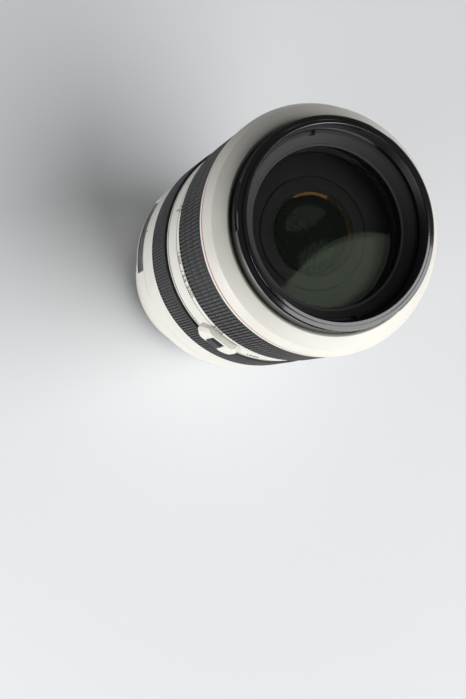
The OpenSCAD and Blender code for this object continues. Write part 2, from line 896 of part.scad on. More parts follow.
// Ribbed rubber with two grooves that break the ribs into three rows
module zoom_rubber() {
    z0 = z_zoom0 + scale_len + seat_gap;
    z1 = z_zoom1 - 2 * lip_w - seat_gap;
    row = (z1 - z0) / 3;
    color(black_rubber)
        difference() {
            ribbed_sleeve(zoom_ribs, z0, z1);
            for (k = [1, 2])
                let (z = z0 + k * row - row_groove / 2)
                ring(r_body, r_grip - rib_h, z, z + row_groove, $fn = 360);
        }
}

// Sleeve that takes the turn of the zoom ring back under the focus ring
module zoom_sleeve() {
    color(dark_metal)
        ring(r_sleeve, r_sleeve_in, z_key0 - 1, z_zoom1 - 2 * lip_w);
}

module zoom_key() {
    color(bright_metal)
        sector(r_sleeve_in - seat_gap, r_cam + seat_gap, z_key0, z_key0 + key_h, key_az, key_az + key_angle);
}

// Turning tube whose winding slots push the front barrel and pull the second lens group
module cam_barrel() {
    color(bright_metal)
        difference() {
            ring(r_cam, r_cam_in, z_cam0, z_tube1 - seam);
            for (a = roller_az)
                cam_slot(r_cam_in - 1, r_cam + 1, a, z_roller, zoom_turn, zoom_travel, roller_slot);
            for (a = follower_az)
                cam_slot(r_cam_in - 1, r_cam + 1, a, z_follower, zoom_turn, -variator_travel, follower_slot);
        }
}

// White tube that slides out with the front lenses
module front_barrel() {
    color(white_paint)
        difference() {
            ring(r_barrel, r_barrel_in, z_barrel0, z_step);
            for (a = roller_az)
                at(a) radial_pin(roller_d * 0.75, r_barrel_in - 1, r_barrel + 1, z_roller);
        }
}

z_step = z_ring0 + 5.5;

module cam_rollers() {
    color(bright_metal)
        for (a = roller_az)
            at(a) {
                radial_pin(roller_d, r_core + run_gap, r_cam + 0.4, z_roller);
                radial_pin(boss_d, r_cam + 0.4 - eps, r_barrel_in - 0.2, z_roller);
                radial_pin(roller_d * 0.75 - 2 * seat_gap, r_barrel_in - 0.2 - eps, r_barrel - 0.2, z_roller);
            }
}

// White ring at the front: flared band, groove for the red ring, satin bevel and a rolled inner lip
module front_ring() {
    ridge = (r_mount + r_body) / 2 - 0.7;
    bevel_out = r_body - 1.5;
    groove0 = z_ring0 + red_z;
    color(white_paint)
        difference() {
            lathe([
                [r_barrel + seat_gap, z_ring0], [r_body - edge, z_ring0], [r_body, z_ring0 + edge],
                [r_body, groove0 + 2 * red_w], [r_body - 0.5, z_ring1 - 2.4], [bevel_out, z_ring1 - 1.1],
                [ridge, z_ring1], [ridge - 1, z_ring1 - 0.3], [r_mount + 0.8, z_ring1 - 1.2],
                [r_mount, z_ring1 - 2.2], [r_mount, z_step], [r_barrel + seat_gap, z_step]
            ]);
            ring(r_body + 1, r_body - 0.6, groove0, groove0 + red_w);
        }
}

module red_ring() {
    z0 = z_ring0 + red_z + seat_gap;
    color(red_paint)
        ring(r_body - seat_gap, r_body - 0.6 + seat_gap, z0, z0 + red_w - 2 * seat_gap);
}

// Black front of the barrel: hood bayonet outside, filter thread inside
module hood_mount() {
    z_low = z_cell0 + 0.6;
    z_thread = z_rim - thread_depth;
    z_hood = z_thread - hood_under;
    groove_h = 1.4;
    groove0 = z_rim - hood_land - groove_h;
    groove_in = r_hood - 0.7;
    color(black_plastic)
        difference() {
            lathe([
                [r_bore, z_low], [r_low, z_low], [r_low, z_hood], [r_hood, z_hood],
                [r_hood, z_rim - 0.6], [r_hood - 0.6, z_rim], [r_thread + 0.3, z_rim],
                [r_thread, z_rim - 0.3], [r_thread, z_thread], [r_bore, z_thread]
            ]);
            for (k = [0:2]) {
                sector(r_hood + 1, groove_in, groove0, groove0 + groove_h, 72 + 120 * k, 88 + 120 * k);
                sector(r_hood + 1, groove_in, groove0, z_rim + 1, 88 + 120 * k, 98 + 120 * k);
            }
        }
}

// Cell with two steps for the front lens and the cemented pair behind it
module front_cell() {
    r_out = r_cell;
    r_front = front_glass_d / 2 + seat_gap;
    r_back = r_front - pair_step;
    z_shelf = z_cell0 + shelf_h;
    z_clamp = z_cell0 + front_cell_len - clamp_room;
    color(black_plastic)
        lathe([
            [r_back - pair_lip, z_cell0], [r_out, z_cell0], [r_out, z_clamp],
            [r_front, z_clamp], [r_front, z_shelf], [r_back, z_shelf],
            [r_back, z_cell0 + pair_floor], [r_back - pair_lip, z_cell0 + pair_floor]
        ]);
}

// Conical ring that clamps the front lens, with two notches for a wrench
module retaining_ring() {
    r_out = r_cell;
    r_in = front_clear_d / 2;
    r_front = front_glass_d / 2 + 0.2;
    z0 = z_cell0 + front_cell_len - clamp_room + seat_gap;
    z1 = z_rim - thread_depth - 0.2;
    color(black_plastic)
        difference() {
            lathe([
                [r_front, z0], [r_out, z0], [r_out, z1], [r_out - 0.9, z1], [r_out - 1.2, z1 - 0.5],
                [r_in + 1.2, z0 + 1.1], [r_in + 0.9, z0 + 0.7], [r_in, z0 + 0.7], [r_in, z0 + clamp_t],
                [r_front, z0 + clamp_t]
            ]);
            for (k = [0, 1])
                at(66 + 180 * k)
                    translate([r_out - 1.6, -1, z1 - 1.2]) cube([3, 2, 3]);
        }
}

module front_element() {
    z0 = z_cell0 + shelf_h + seat_gap;
    clear = front_clear_d / 2;
    z_touch = z_cell0 + front_cell_len - clamp_room + clamp_t;
    vertex = z_touch + front_glass_r - sqrt(pow(front_glass_r, 2) - pow(clear, 2)) - 0.15;
    color(clear_glass, 0.5) convex_lens(front_glass_d, front_glass_r, z0, vertex);
}

module second_element() {
    z0 = z_cell0 + pair_floor + seat_gap;
    color(clear_glass, 0.5) convex_lens(front_glass_d - 2 * pair_step, pair_r, z0, z0 + pair_t);
}

// Sliding cell of the second lens group, with a stepped black face towards the front
module variator_cell() {
    z0 = z_var0;
    z1 = z_var0 + variator_len;
    r_hole = variator_glass_d / 2 + seat_gap;
    face_r = variator_clear_r + 5.8;
    color(black_plastic)
        difference() {
            lathe([
                [r_slide - 1.6, z0], [r_slide, z0], [r_slide, z1 - 0.6], [r_slide - 0.6, z1 - 0.6],
                [face_r, z1 - 0.6], [face_r - 0.4, z1 - 1.2], [face_r - 0.8, z1 - 0.4],
                [variator_clear_r + 0.8, z1], [variator_clear_r, z1 - 0.8],
                [variator_clear_r, z1 - variator_lip], [r_hole, z1 - variator_lip],
                [r_hole, z0 + 3], [r_hole + 1.6, z0 + 3],
                [r_hole + 1.6, z1 - 3.4], [r_slide - 1.6, z1 - 3.4]
            ]);
            for (a = follower_az)
                at(a) radial_pin(follower_d, r_slide - 3, r_slide + 1, z_follower);
        }
}

module variator_element() {
    z1 = z_var0 + variator_len - variator_lip - seat_gap;
    color(clear_glass, 0.5)
        difference() {
            translate([0, 0, z1 - variator_t]) cylinder(d = variator_glass_d, h = variator_t);
            translate([0, 0, z1 + variator_r - variator_dip]) sphere(r = variator_r);
        }
}

module variator_followers() {
    color(bright_metal)
        for (a = follower_az)
            at(a) radial_pin(follower_d - 2 * seat_gap, r_slide - 2, r_cam - 0.1, z_follower);
}

// Blade number k lies k steps above the base
function blade_az(k) = 45 * k;
function blade_z(k) = z_blade + k * blade_step;

module iris_base() {
    color(dark_metal)
        difference() {
            union() {
                ring(r_fixed, iris_d / 2, z_iris, z_iris + iris_base_t);
                ring(r_fixed, r_iris_wall, z_iris + iris_base_t - eps, z_iris_wall);
            }
            for (k = [0:blade_n - 1])
                at(blade_az(k))
                    translate([r_pivot, 0, z_iris + 0.5]) cylinder(d = pivot_d + 0.2, h = iris_base_t);
        }
}

module iris_cover() {
    color(dark_metal)
        ring(r_fixed, iris_d / 2, z_iris_wall + eps, z_iris_wall + iris_cover_t);
}

// Place of a blade's drive pin after the blade has turned by t, seen from the blade's own azimuth
function drive_point(t) =
    let (
        start = polar(r_pivot, drive_az) - [r_pivot, 0],
        turned = [start[0] * cos(t) - start[1] * sin(t), start[0] * sin(t) + start[1] * cos(t)]
    )
    turned + [r_pivot, 0];

// Drive ring: each slot is the path of a drive pin, seen from the turning ring
module iris_ring() {
    half = drive_pin_d / 2 + slot_gap + 0.1;
    tail = 0.12;
    path = [
        for (j = [0:slot_steps])
            let (
                share = -tail + j / slot_steps * (1 + 2 * tail),
                p = drive_point(share * blade_turn)
            )
            [norm(p), atan2(p[1], p[0]) - share * iris_turn]
    ];
    outline = concat(
        [for (p = path) polar(p[0] + half, p[1])],
        [for (j = [slot_steps:-1:0]) polar(path[j][0] - half, path[j][1])]
    );
    color(bright_metal)
        difference() {
            ring(r_iris_wall - run_gap, blade_in + 4.2, z_iris_ring, z_iris_ring + iris_ring_t);
            for (k = [0:blade_n - 1])
                at(blade_az(k))
                    translate([0, 0, z_iris_ring - 1]) linear_extrude(iris_ring_t + 2) polygon(outline);
        }
}

// Thin curved blade with a lug that carries the pivot pin below and the drive pin above
module iris_blade(k) {
    z0 = blade_z(k);
    az = blade_az(k);
    drive = drive_point(0);
    color(dark_metal) {
        sector(blade_out, blade_in, z0, z0 + blade_t, az - 4, az + blade_span);
        sector(r_pivot + 1.4, blade_out - 0.5, z0, z0 + blade_t, az - 4, az + drive_az + 4);
        at(az) {
            translate([r_pivot, 0, z_iris + 0.7]) cylinder(d = pivot_d, h = z0 - z_iris - 0.7 + blade_t);
            translate([drive[0], drive[1], z0]) cylinder(d = drive_pin_d, h = z_iris_ring + iris_ring_t - z0);
        }
    }
}

module stabiliser_base() {
    color(dark_metal)
        difference() {
            ring(r_fixed, stab_clear_r + 2, z_stab, z_stab + stab_len);
            ring(r_iris_wall, stab_clear_r, z_stab + stab_floor, z_stab + stab_len + 1);
        }
}

module stabiliser_frame() {
    z0 = z_stab + stab_floor + seam;
    color(bright_metal)
        difference() {
            ring(r_iris_wall - shift_travel - run_gap, stab_clear_r + 3, z0, z0 + frame_t);
            for (k = [0:3])
                at(45 + 90 * k)
                    translate([r_iris_wall - 5.5, 0, z0 - 1]) cylinder(d = 3.4, h = frame_t + 2);
        }
}

// Cell of the shifting lens, with three wings for its coils
module stabiliser_cell() {
    z0 = z_stab + stab_floor + 2 * seam + frame_t;
    r_hole = stab_glass_d / 2 + seat_gap;
    color(black_plastic) {
        difference() {
            ring(r_hole + 2, stab_clear_r, z0, z0 + stab_cell_h);
            translate([0, 0, z0 + stab_lip]) cylinder(r = r_hole, h = stab_cell_h);
        }
        for (k = [0:2])
            at(60 + 120 * k)
                translate([r_hole + 1, -5, z0]) cube([r_iris_wall - 2.5 * shift_travel - r_hole - 2, 10, 2]);
    }
}

module stabiliser_element() {
    z0 = z_stab + stab_floor + 2 * seam + frame_t + stab_lip + seat_gap;
    color(clear_glass, 0.5) convex_lens(stab_glass_d, stab_r, z0, z0 + stab_t);
}

// Sliding cell of the focus group
module focus_carriage() {
    r_hole = focus_glass_d / 2 + seat_gap;
    z0 = z_carriage;
    color(black_plastic)
        lathe([
            [r_slide - 1.8, z0], [r_slide, z0], [r_slide, z0 + carriage_len],
            [r_slide - 1.8, z0 + carriage_len],
            [r_slide - 1.8, z0 + 6], [r_hole + 1.6, z0 + 6], [r_hole + 1.6, z0 + 7], [r_hole, z0 + 7],
            [r_hole, z0 + focus_lip], [r_hole - 1.5, z0 + focus_lip],
            [r_hole - 1.5, z0 + 0.8], [r_slide - 1.8, z0 + 0.8]
        ]);
}

module focus_element() {
    z0 = z_carriage + focus_lip + seat_gap;
    color(clear_glass, 0.5) convex_lens(focus_glass_d, focus_r, z0, z0 + focus_t);
}

mount_ring();
mount_screws();
mount_gasket();
contact_block();
contact_pins();
rear_baffle();
rear_cell();
rear_element();
chassis();
circuit_board();
motor_stator();
motor_rotor();
rear_barrel();
distance_window();
distance_scale();
switch_panel();
af_switch();
stabiliser_switch();
mode_switch();
mid_barrel();
band_barrel();
zoom_lock();
focus_ring();
focus_rubber();
outer_tube();
guide_tube();
zoom_ring();
zoom_rubber();
zoom_sleeve();
zoom_key();
cam_barrel();
front_barrel();
cam_rollers();
front_ring();
red_ring();
hood_mount();
front_cell();
retaining_ring();
front_element();
second_element();
variator_cell();
variator_element();
variator_followers();
iris_base();
iris_cover();
iris_ring();
iris_blade(0);  // iris_blade_1
iris_blade(1);  // iris_blade_2
iris_blade(2);  // iris_blade_3
iris_blade(3);  // iris_blade_4
iris_blade(4);  // iris_blade_5
iris_blade(5);  // iris_blade_6
iris_blade(6);  // iris_blade_7
iris_blade(7);  // iris_blade_8
stabiliser_base();
stabiliser_frame();
stabiliser_cell();
stabiliser_element();
focus_carriage();
focus_element();
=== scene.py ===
import math
import bmesh
import bpy
from mathutils import Matrix, Vector


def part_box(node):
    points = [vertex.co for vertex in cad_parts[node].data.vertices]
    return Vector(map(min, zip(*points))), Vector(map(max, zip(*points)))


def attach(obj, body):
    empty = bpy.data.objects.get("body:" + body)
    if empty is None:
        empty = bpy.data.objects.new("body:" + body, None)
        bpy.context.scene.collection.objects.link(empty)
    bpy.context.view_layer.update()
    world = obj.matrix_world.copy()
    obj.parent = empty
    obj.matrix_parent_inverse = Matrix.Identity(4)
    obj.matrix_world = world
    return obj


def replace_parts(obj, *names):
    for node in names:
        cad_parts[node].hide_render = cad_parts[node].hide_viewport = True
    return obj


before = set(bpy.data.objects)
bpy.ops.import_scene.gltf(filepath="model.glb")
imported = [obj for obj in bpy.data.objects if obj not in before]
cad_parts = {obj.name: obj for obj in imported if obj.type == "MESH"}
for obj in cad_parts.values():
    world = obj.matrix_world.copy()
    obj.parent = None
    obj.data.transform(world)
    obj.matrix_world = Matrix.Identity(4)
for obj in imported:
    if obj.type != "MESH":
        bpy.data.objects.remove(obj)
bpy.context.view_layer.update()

# Bayonet mount: a turned brass ring with three lugs, chrome plated and screwed to the body.
# The lathe leaves fine rings round the axis, and the plating draws highlights out along them.
# They are drawn four times as coarse as a real tool mark, or they would not show.
MM = 0.001


def srgb(colour):
    channels = [int(colour[i:i + 2], 16) / 255 for i in (1, 3, 5)]
    return [c / 12.92 if c <= 0.04045 else ((c + 0.055) / 1.055) ** 2.4 for c in channels] + [1.0]


def add_node(material, kind, settings=None, links=None):
    node = material.node_tree.nodes.new(kind)
    for name, value in (settings or {}).items():
        if name in node.inputs:
            node.inputs[name].default_value = value
        else:
            setattr(node, name, value)
    for name, source in (links or {}).items():
        material.node_tree.links.new(source, node.inputs[name])
    return node


def new_material(name, colour, **sockets):
    material = bpy.data.materials.new(name)
    material.use_nodes = True
    shader = material.node_tree.nodes["Principled BSDF"]
    shader.inputs["Base Color"].default_value = srgb(colour)
    for socket, value in sockets.items():
        shader.inputs[socket.replace("_", " ")].default_value = value
    return material, shader


def dress(material, *nodes):
    for node in nodes:
        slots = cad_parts[node].data.materials
        slots.clear()
        slots.append(material)


def lathe_marked(material, shader, spacing, smooth, rough):
    # Roughness that changes ring by ring; the period is that of a wave of scale 1, in metres.
    period = 0.314
    place = add_node(material, "ShaderNodeTexCoord")
    wave = add_node(material, "ShaderNodeTexWave",
                    {"wave_type": "RINGS", "rings_direction": "Z", "Scale": period / spacing,
                     "Distortion": 0.6, "Detail": 2.0},
                    {"Vector": place.outputs["Object"]})
    share = add_node(material, "ShaderNodeMapRange", {"To Min": smooth, "To Max": rough},
                     {"Value": wave.outputs["Fac"]})
    material.node_tree.links.new(share.outputs["Result"], shader.inputs["Roughness"])


chrome, shader = new_material("chrome_plated_brass", "#C9C7C2", Metallic=1.0, Roughness=0.2)
lathe_marked(chrome, shader, 0.8 * MM, 0.14, 0.3)
dress(chrome, "mount_ring")

# Flange screws: four small steel screws with a cross recess, zinc plated, through the mount ring.
# The plating is a little darker and duller than the chrome around it.


def grained(material, shader, grain, strength, depth):
    # A fine relief of the given grain width, as a mould or a spray gun leaves it.
    place = add_node(material, "ShaderNodeTexCoord")
    noise = add_node(material, "ShaderNodeTexNoise", {"Scale": 1 / grain, "Detail": 3.0},
                     {"Vector": place.outputs["Object"]})
    bump = add_node(material, "ShaderNodeBump", {"Strength": strength, "Distance": depth},
                    {"Height": noise.outputs["Fac"]})
    material.node_tree.links.new(bump.outputs["Normal"], shader.inputs["Normal"])


def add_piece(name, shape, material, body, sharp=35):
    # Makes a finished bmesh a piece that rides on a body.
    mesh = bpy.data.meshes.new(name)
    shape.to_mesh(mesh)
    shape.free()
    mesh.materials.append(material)
    mesh.shade_smooth()
    mesh.set_sharp_from_angle(angle=math.radians(sharp))
    piece = bpy.data.objects.new(name, mesh)
    bpy.context.scene.collection.objects.link(piece)
    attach(piece, body)
    return piece


zinc, shader = new_material("zinc_plated_steel", "#A9A9A6", Metallic=1.0, Roughness=0.32)
grained(zinc, shader, 0.5 * MM, 0.2, 0.01 * MM)
dress(zinc, "mount_screws")
# Cross recesses: thin near-black bars flush on each screw head, painted shade where the cross recess would
# lie in shadow.
recess_shade_black, shader = new_material("painted_recess_shade", "#0A0A0A", Metallic=1.0, Roughness=0.5)
grained(recess_shade_black, shader, 0.5 * MM, 0.2, 0.01 * MM)
screw_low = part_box("mount_screws")[0]
screw_circle, screw_count, first_screw = 29 * MM, 4, 45
recess_long, recess_wide, recess_thick = 1.7 * MM, 0.36 * MM, 0.06 * MM
recesses = bmesh.new()
for k in range(screw_count):
    turn = Matrix.Rotation(math.radians(first_screw + 360 / screw_count * k), 4, "Z")
    for quarter in (0, 90):
        bar = bmesh.ops.create_cube(recesses, size=1.0)["verts"]
        bmesh.ops.scale(recesses, vec=(recess_long, recess_wide, recess_thick), verts=bar)
        bmesh.ops.rotate(recesses, cent=(0, 0, 0), matrix=Matrix.Rotation(math.radians(quarter), 3, "Z"),
                         verts=bar)
        bmesh.ops.translate(recesses, vec=(screw_circle, 0, screw_low[2]), verts=bar)
        bmesh.ops.transform(recesses, matrix=turn, verts=bar)
add_piece("screw_recess_shade", recesses, recess_shade_black, "body")

# Seal round the mount: a thin skirt of moulded nitrile rubber, pressed between flange and barrel.
# Moulded rubber is dull, with a fine grain and a faint bloom where it is handled.
# The grain is drawn at 0.8 mm, several times its real size, so that it shows.


def mottled(material, shader, patch, dark, light):
    # Two close colours in soft patches of the given width.
    dark_to, light_from = 0.35, 0.65
    place = add_node(material, "ShaderNodeTexCoord")
    noise = add_node(material, "ShaderNodeTexNoise", {"Scale": 1 / patch, "Detail": 5.0},
                     {"Vector": place.outputs["Object"]})
    ramp = add_node(material, "ShaderNodeValToRGB", {}, {"Fac": noise.outputs["Fac"]})
    ramp.color_ramp.elements[0].position = dark_to
    ramp.color_ramp.elements[0].color = srgb(dark)
    ramp.color_ramp.elements[1].position = light_from
    ramp.color_ramp.elements[1].color = srgb(light)
    material.node_tree.links.new(ramp.outputs["Color"], shader.inputs["Base Color"])


rubber, shader = new_material("moulded_nitrile_rubber", "#2A2A2B", Roughness=0.6, IOR=1.5)
grained(rubber, shader, 0.8 * MM, 0.3, 0.04 * MM)
mottled(rubber, shader, 5 * MM, "#272728", "#303031")
dress(rubber, "mount_gasket")

# Electrical contacts: gold-plated pins in a black moulded block inside the bayonet.
# Gold is bright on the crowns of the pins, and the block has the satin of a moulded plastic.
gold, shader = new_material("gold_plated_contacts", "#D9B25A", Metallic=1.0, Roughness=0.22)
grained(gold, shader, 0.5 * MM, 0.2, 0.01 * MM)
dress(gold, "contact_pins")
black_plastic, shader = new_material("moulded_black_polycarbonate", "#161617", Roughness=0.42, IOR=1.52)
grained(black_plastic, shader, 0.8 * MM, 0.2, 0.02 * MM)
mottled(black_plastic, shader, 6 * MM, "#141415", "#1A1A1B")
dress(black_plastic, "contact_block")

# Baffle and rear cells: moulded or turned black parts under a matt paint that swallows stray light.
# The paint is nearly black and throws back only a faint sheen at a low angle.
matt_paint, shader = new_material("matt_black_optical_paint", "#0B0B0C", Roughness=0.7, IOR=1.45)
grained(matt_paint, shader, 1.0 * MM, 0.15, 0.02 * MM)
dress(matt_paint, "rear_baffle", "rear_cell", "stabiliser_cell", "focus_carriage")

# Front cells: the turned rings behind the front glass, anodised and painted black. Their colour is
# painted lighter than the black of the rear cells, as painted light for what the glass keeps from them.
# The metal under the thin coat gives a broad sheen, by which the rings still show through the glass.
lit_cell_paint, shader = new_material("anodised_cells_painted_lighter", "#363637", Roughness=0.65, IOR=2.2)
grained(lit_cell_paint, shader, 1.0 * MM, 0.15, 0.02 * MM)
dress(lit_cell_paint, "front_cell", "variator_cell")

# Inner tubes, focus ring, iris and motor ring: aluminium turned on a lathe and anodised black.
# Anodising keeps the lathe's rings, which show as a dull satin, drawn coarser here than they are.
black_alloy, shader = new_material("black_anodised_aluminium", "#151516", Metallic=0.5, Roughness=0.5)
lathe_marked(black_alloy, shader, 0.9 * MM, 0.42, 0.58)
iris_blades = ["iris_blade_%d" % number for number in range(1, 9)]
dress(black_alloy, "motor_rotor", "outer_tube", "guide_tube", "zoom_sleeve", "stabiliser_base",
      "iris_base", "iris_cover", "focus_ring", *iris_blades)

# Chassis and running parts: bare aluminium, turned to size so that the sliding faces fit.
# It is bright, with lathe rings that break up the highlight.
bare_alloy, shader = new_material("turned_aluminium", "#B4B6B8", Metallic=1.0, Roughness=0.35)
lathe_marked(bare_alloy, shader, 0.9 * MM, 0.28, 0.42)
dress(bare_alloy, "chassis", "motor_stator", "cam_barrel", "cam_rollers", "zoom_key", "variator_followers",
      "stabiliser_frame", "iris_ring")

# Ring board in the rear of the body: glass-fibre laminate under a green solder mask.
# Copper under the mask shows as slightly lighter patches.
board, shader = new_material("green_solder_mask", "#1F4A30", Roughness=0.4, IOR=1.5)
mottled(board, shader, 1.2 * MM, "#1B4029", "#2B6040")
dress(board, "circuit_board")

# White barrels: aluminium and moulded shells under a baked ivory enamel that keeps the sun's heat off.
# The enamel is satin, with an orange peel about a millimetre wide and hardly any change of tone.
enamel, shader = new_material("baked_ivory_enamel", "#E2DFD6", Roughness=0.34, IOR=1.5)
grained(enamel, shader, 1.2 * MM, 0.06, 0.03 * MM)
mottled(enamel, shader, 14 * MM, "#E0DDD4", "#E4E2D9")
dress(enamel, "rear_barrel", "mid_barrel", "switch_panel", "band_barrel", "zoom_ring", "front_barrel")

# Mounting mark: a red enamelled bead let into the neck, set against the mark on a camera.
# Enamel in a small bead is glossy and domed.


def reach(node):
    # Largest radius of a round node, and the heights of its two ends.
    low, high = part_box(node)
    return high[1], low[2], high[2]


red, shader = new_material("red_gloss_enamel", "#B3242A", Roughness=0.28, IOR=1.5)
grained(red, shader, 1.0 * MM, 0.08, 0.02 * MM)
neck_r = 34.2 * MM
bead_r = 1.2 * MM
bead_flat = 0.35
bead_z = reach("rear_barrel")[1] + 1.9 * MM
bead = bmesh.new()
bmesh.ops.create_uvsphere(bead, u_segments=32, v_segments=16, radius=bead_r)
bmesh.ops.scale(bead, vec=(1, bead_flat, 1), verts=bead.verts)
bmesh.ops.translate(bead, vec=(0, -neck_r, bead_z), verts=bead.verts)
add_piece("mount_index", bead, red, "body")

# Distance window: a clear acrylic pane set in the barrel, over a black drum that turns with the focus.
# The numbers are screen printed on the drum in white, metres in front of feet, each at its turn in
# degrees from infinity. The pane is clear, with a faint mirror image of the light.
acrylic, shader = new_material("clear_acrylic", "#B4BAB7", Roughness=0.03, IOR=1.3, Transmission_Weight=1.0,
                               Specular_IOR_Level=0.2)
dress(acrylic, "distance_window")
dress(black_plastic, "distance_scale")
ink_white, shader = new_material("white_screen_ink", "#DAD8D0", Roughness=0.5, IOR=1.5)
grained(ink_white, shader, 0.5 * MM, 0.1, 0.01 * MM)
print_thick, print_lift, capital_share = 0.1 * MM, 0.05 * MM, 0.7


def wrapped_text(words, height, azimuth, z, radius):
    # Flat lettering bent round the axis: it runs with the azimuth and its top faces the front.
    curve = bpy.data.curves.new(words, "FONT")
    curve.body = words
    curve.size = height / capital_share
    curve.align_x = "CENTER"
    curve.align_y = "CENTER"
    curve.resolution_u = 3
    curve.extrude = print_thick / 2
    flat = bpy.data.objects.new(words, curve)
    bpy.context.scene.collection.objects.link(flat)
    bpy.context.view_layer.update()
    mesh = bpy.data.meshes.new_from_object(flat)
    bpy.data.objects.remove(flat)
    for vertex in mesh.vertices:
        turn = math.radians(azimuth) + vertex.co.x / radius
        out = radius + print_lift + vertex.co.z
        vertex.co = (out * math.sin(turn), -out * math.cos(turn), z + vertex.co.y)
    return mesh


def add_prints(name, meshes, material, body, bars=()):
    # All the prints on one surface are one piece; a bar is (width, length, azimuth, z, radius).
    together = bmesh.new()
    for mesh in meshes:
        together.from_mesh(mesh)
        bpy.data.meshes.remove(mesh)
    for width, length, azimuth, z, radius in bars:
        bar = bmesh.ops.create_cube(together, size=1.0)["verts"]
        bmesh.ops.scale(together, vec=(width, print_thick, length), verts=bar)
        bmesh.ops.translate(together, vec=(0, -radius - print_lift, z), verts=bar)
        bmesh.ops.rotate(together, cent=(0, 0, 0), matrix=Matrix.Rotation(math.radians(azimuth), 3, "Z"),
                         verts=bar)
    return add_piece(name, together, material, body)


drum_r = reach("distance_scale")[0]
window_low, window_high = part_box("distance_window")
window_mid = (window_low[2] + window_high[2]) / 2
row_up = 1.8 * MM
number_h = 1.7 * MM
metres = {"10": 13, "5": 24, "3": 34, "2": 44, "1.5": 55, "1.2": 66}
feet = {"30": 13, "15": 24, "10": 34, "7": 44, "5": 55, "4": 66}
prints = [wrapped_text("∞", number_h, 0, window_mid, drum_r)]
for row, numbers in ((row_up, metres), (-row_up, feet)):
    prints += [wrapped_text(word, number_h, turn, window_mid + row, drum_r)
               for word, turn in numbers.items()]
add_prints("distance_numbers", prints, ink_white, "scale_drum")

# Focus index: a short black line on the barrel in front of the window, screen printed on the enamel.
# The ink is matt, and the distance is read where the numbers of the drum turn past the line.
ink_black, shader = new_material("black_screen_ink", "#1E1E1F", Roughness=0.5, IOR=1.5)
grained(ink_black, shader, 0.5 * MM, 0.1, 0.01 * MM)
shell_r, _, mid_z1 = reach("mid_barrel")
index_w, index_l, index_gap = 0.35 * MM, 1.6 * MM, 1.8 * MM
add_prints("focus_index", [], ink_black, "body",
           [(index_w, index_l, 0, window_high[2] + index_gap, shell_r)])

# Switches: three grey moulded sliders in a curved panel on the left side, with printed settings.
# The plastic is satin, and the panel has the enamel of the barrel.
grey_plastic, shader = new_material("moulded_grey_polycarbonate", "#3B3C3E", Roughness=0.45, IOR=1.52)
grained(grey_plastic, shader, 0.8 * MM, 0.2, 0.02 * MM)
dress(grey_plastic, "af_switch", "stabiliser_switch", "mode_switch", "zoom_lock")
panel_low, panel_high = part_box("switch_panel")
panel_r = -panel_low[0]
left_side, switch_pitch = -90, 11.5
label_h = 1.2 * MM
label_in = 1.4 * MM
prints = []
for number, (front_word, rear_word) in enumerate((("AF", "MF"), ("ON", "OFF"), ("1", "2"))):
    azimuth = left_side + (number - 1) * switch_pitch
    prints.append(wrapped_text(front_word, label_h, azimuth, panel_high[2] - label_in, panel_r))
    prints.append(wrapped_text(rear_word, label_h, azimuth, panel_low[2] + label_in, panel_r))
add_prints("switch_labels", prints, ink_black, "body")

# Grips: moulded rubber sleeves with rounded ribs between two narrow edges, stretched over the rings.
# The tops of the ribs catch the light, and the grooves between them and between the rows stay dark.


def filleted(corners, steps=4):
    # Corners (r, z) in millimetres, or (r, z, radius) where the corner is rounded.
    path = []
    for i, corner in enumerate(corners):
        here = Vector(corner[:2])
        if len(corner) == 2:
            path.append(here)
            continue
        to_last = (Vector(corners[i - 1][:2]) - here).normalized()
        to_next = (Vector(corners[(i + 1) % len(corners)][:2]) - here).normalized()
        half = to_last.angle(to_next) / 2
        centre = here + (to_last + to_next).normalized() * (corner[2] / math.sin(half))
        start = here + to_last * (corner[2] / math.tan(half)) - centre
        end = here + to_next * (corner[2] / math.tan(half)) - centre
        path += [centre + start.lerp(end, step / steps).normalized() * corner[2] for step in range(steps + 1)]
    return path


def spin_path(shape, path, closed=True, steps=256):
    # Turns a path of (r, z) in millimetres once round the axis.
    points = [shape.verts.new((r * MM, 0, z * MM)) for r, z in path]
    ends = points[1:] + points[:1] if closed else points[1:]
    edges = [shape.edges.new(pair) for pair in zip(points, ends)]
    bmesh.ops.spin(shape, geom=points + edges, cent=(0, 0, 0), axis=(0, 0, 1), dvec=(0, 0, 0),
                   angle=2 * math.pi, steps=steps, use_merge=True)
    bmesh.ops.remove_doubles(shape, verts=shape.verts, dist=0.001 * MM)
    bmesh.ops.recalc_face_normals(shape, faces=shape.faces)


